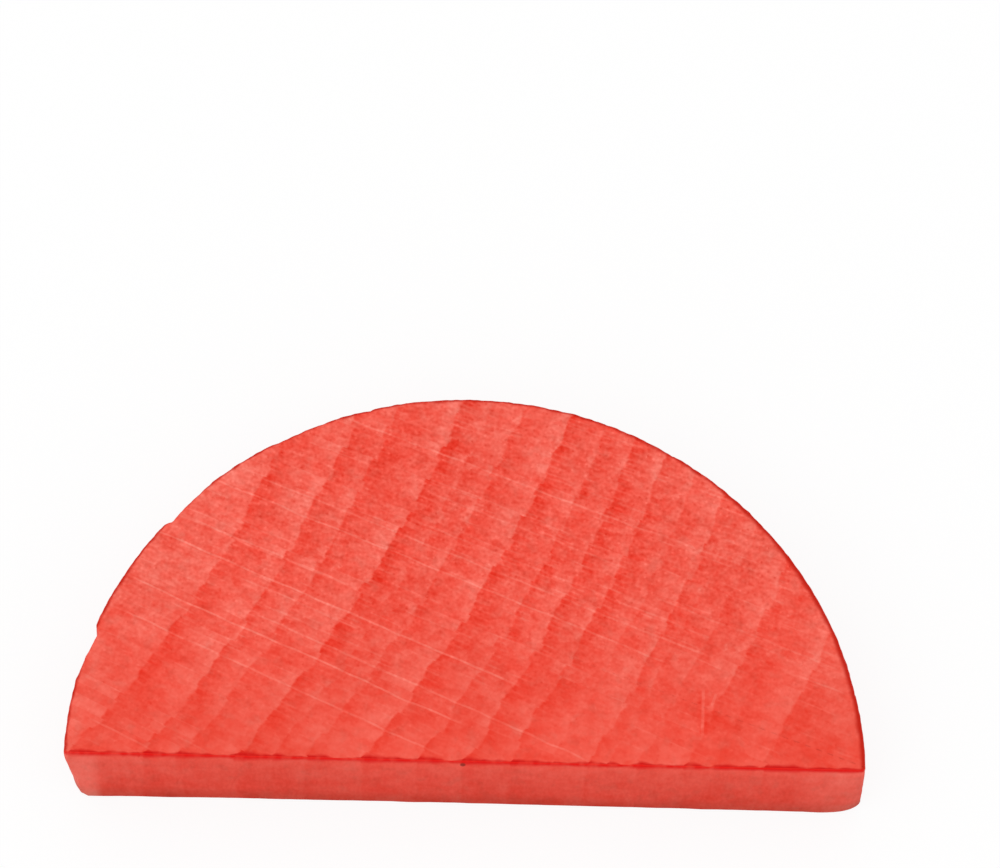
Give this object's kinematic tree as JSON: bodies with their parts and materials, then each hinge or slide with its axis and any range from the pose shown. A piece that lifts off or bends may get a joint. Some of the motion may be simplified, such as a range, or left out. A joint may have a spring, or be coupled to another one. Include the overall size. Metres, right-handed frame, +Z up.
{
  "type": "wooden half disc game piece",
  "caption": "Flat half disc of red-stained wood: sawn end-grain top and underside, straight flat side, round side and eased edges; a playing piece that lies flat on a board.",
  "frame": {"origin": "middle of the outline's box, on the underside that the piece rests on", "axes": "+Z up out of the top face, +X along the flat side, -Y out of the flat side, +Y towards the crown of the arc"},
  "size_m": [0.049, 0.024, 0.0075],
  "materials": {
    "red_stained_wood": "matte"
  },
  "bodies": {
    "root": {"half_disc": "red_stained_wood"}
  },
  "joints": []
}
